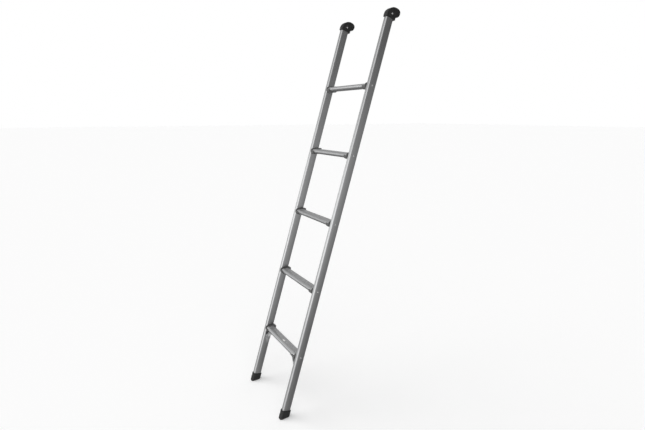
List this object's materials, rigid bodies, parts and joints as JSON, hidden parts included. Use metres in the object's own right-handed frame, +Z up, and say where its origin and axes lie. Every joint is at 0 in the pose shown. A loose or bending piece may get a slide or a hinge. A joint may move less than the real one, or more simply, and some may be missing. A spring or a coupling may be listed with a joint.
{
  "type": "leaning ladder",
  "caption": "Slim aluminium leaning ladder with level flat treads in plastic end sockets, hooked black caps on top and black rubber boots on the rail ends.",
  "frame": {"origin": "on the floor under the middle of the ladder's bounding box", "axes": "+Z up, +X to the right of someone climbing it, +Y the way the top leans; the treads are level and the climber stands on the -Y side"},
  "size_m": [0.3592, 0.6044, 1.7576],
  "materials": {
    "rail": "satin mill finish, drawn lengthwise",
    "tread": "satin, ribbed top",
    "brace": "satin sheet",
    "rivet": "bright, lightly worn",
    "cap": "fine moulded grain, black",
    "socket": "fine moulded grain, dark grey",
    "foot": "matte black",
    "label": "blank white sticker"
  },
  "bodies": {
    "root": {"tread_1": "tread", "tread_2": "tread", "tread_3": "tread", "tread_4": "tread", "tread_5": "tread", "rail_left": "rail", "top_cap_left": "cap", "cap_rivet_left": "rivet", "foot_left": "foot", "brace_left": "brace", "brace_rivet_rail_left": "rivet", "brace_rivet_tread_left": "rivet", "tread_socket_left_1": "socket", "tread_rivet_left_1": "rivet", "tread_socket_left_2": "socket", "tread_rivet_left_2": "rivet", "tread_socket_left_3": "socket", "tread_rivet_left_3": "rivet", "tread_socket_left_4": "socket", "tread_rivet_left_4": "rivet", "tread_socket_left_5": "socket", "tread_rivet_left_5": "rivet", "rail_right": "rail", "top_cap_right": "cap", "cap_rivet_right": "rivet", "foot_right": "foot", "brace_right": "brace", "brace_rivet_rail_right": "rivet", "brace_rivet_tread_right": "rivet", "tread_socket_right_1": "socket", "tread_rivet_right_1": "rivet", "tread_socket_right_2": "socket", "tread_rivet_right_2": "rivet", "tread_socket_right_3": "socket", "tread_rivet_right_3": "rivet", "tread_socket_right_4": "socket", "tread_rivet_right_4": "rivet", "tread_socket_right_5": "socket", "tread_rivet_right_5": "rivet", "blank_label": "label"}
  },
  "joints": []
}
